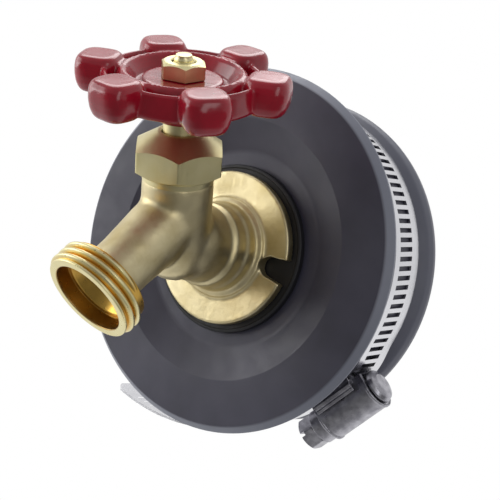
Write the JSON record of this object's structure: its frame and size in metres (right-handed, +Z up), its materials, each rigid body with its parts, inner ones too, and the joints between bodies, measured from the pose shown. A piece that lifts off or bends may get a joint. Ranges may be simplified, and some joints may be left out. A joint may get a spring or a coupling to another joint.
{
  "type": "hose bib",
  "caption": "Hose bib: a flanged brass valve with a red handwheel and a hose thread, fitted through a rubber pipe cap with a worm-drive clamp.",
  "frame": {"origin": "centre of the pipe's end, where it meets the floor of the rubber cap", "axes": "+Y along the pipe and away from the tap, +Z up, x = 0 is the tap's plane of symmetry"},
  "size_m": [0.1073, 0.1052, 0.113],
  "materials": {
    "rubber_cap": "satin",
    "rubber_seal": "satin",
    "cast_brass": "satin",
    "turned_brass": "polished",
    "red_enamel": "gloss",
    "stainless": "polished",
    "zinc_steel": "satin",
    "packing_yarn": "matte"
  },
  "bodies": {
    "bib_and_cap": {"pipe_cap": "rubber_cap", "flange_gasket": "rubber_seal", "valve_body": "cast_brass", "backing_washer": "zinc_steel", "lock_nut": "turned_brass", "clamp_band": "stainless", "clamp_housing": "stainless", "clamp_saddle": "stainless", "packing_washer": "turned_brass", "packing_ring_lower": "packing_yarn", "packing_ring_upper": "packing_yarn", "packing_gland": "turned_brass", "packing_nut": "turned_brass"},
    "seat_disc": {"seat_washer": "rubber_seal", "washer_cup": "turned_brass"},
    "wheel_and_stem": {"stem": "turned_brass", "bibb_screw": "turned_brass", "handwheel": "red_enamel", "wheel_nut": "turned_brass"},
    "worm_screw": {"clamp_screw": "zinc_steel"}
  },
  "joints": [
    {"name": "stem_lift", "type": "slide", "parent": "bib_and_cap", "child": "seat_disc", "axis": [0, -0.4099, 0.9121], "range_m": [0, 0.0051]},
    {"name": "wheel_turn", "type": "hinge", "parent": "seat_disc", "child": "wheel_and_stem", "pos_m": [0, -0.0339, 0.0069], "axis": [0, -0.4099, 0.9121], "range_deg": [0, 720]},
    {"name": "clamp_screw_turn", "type": "hinge", "parent": "bib_and_cap", "child": "worm_screw", "pos_m": [0.04374, 0.01375, -0.03063], "axis": [-0.5736, 0, -0.8192], "continuous": true}
  ],
  "couplings": [
    {"joint": "stem_lift", "follows": "wheel_turn", "m_per_rad": 0.00040425}
  ]
}
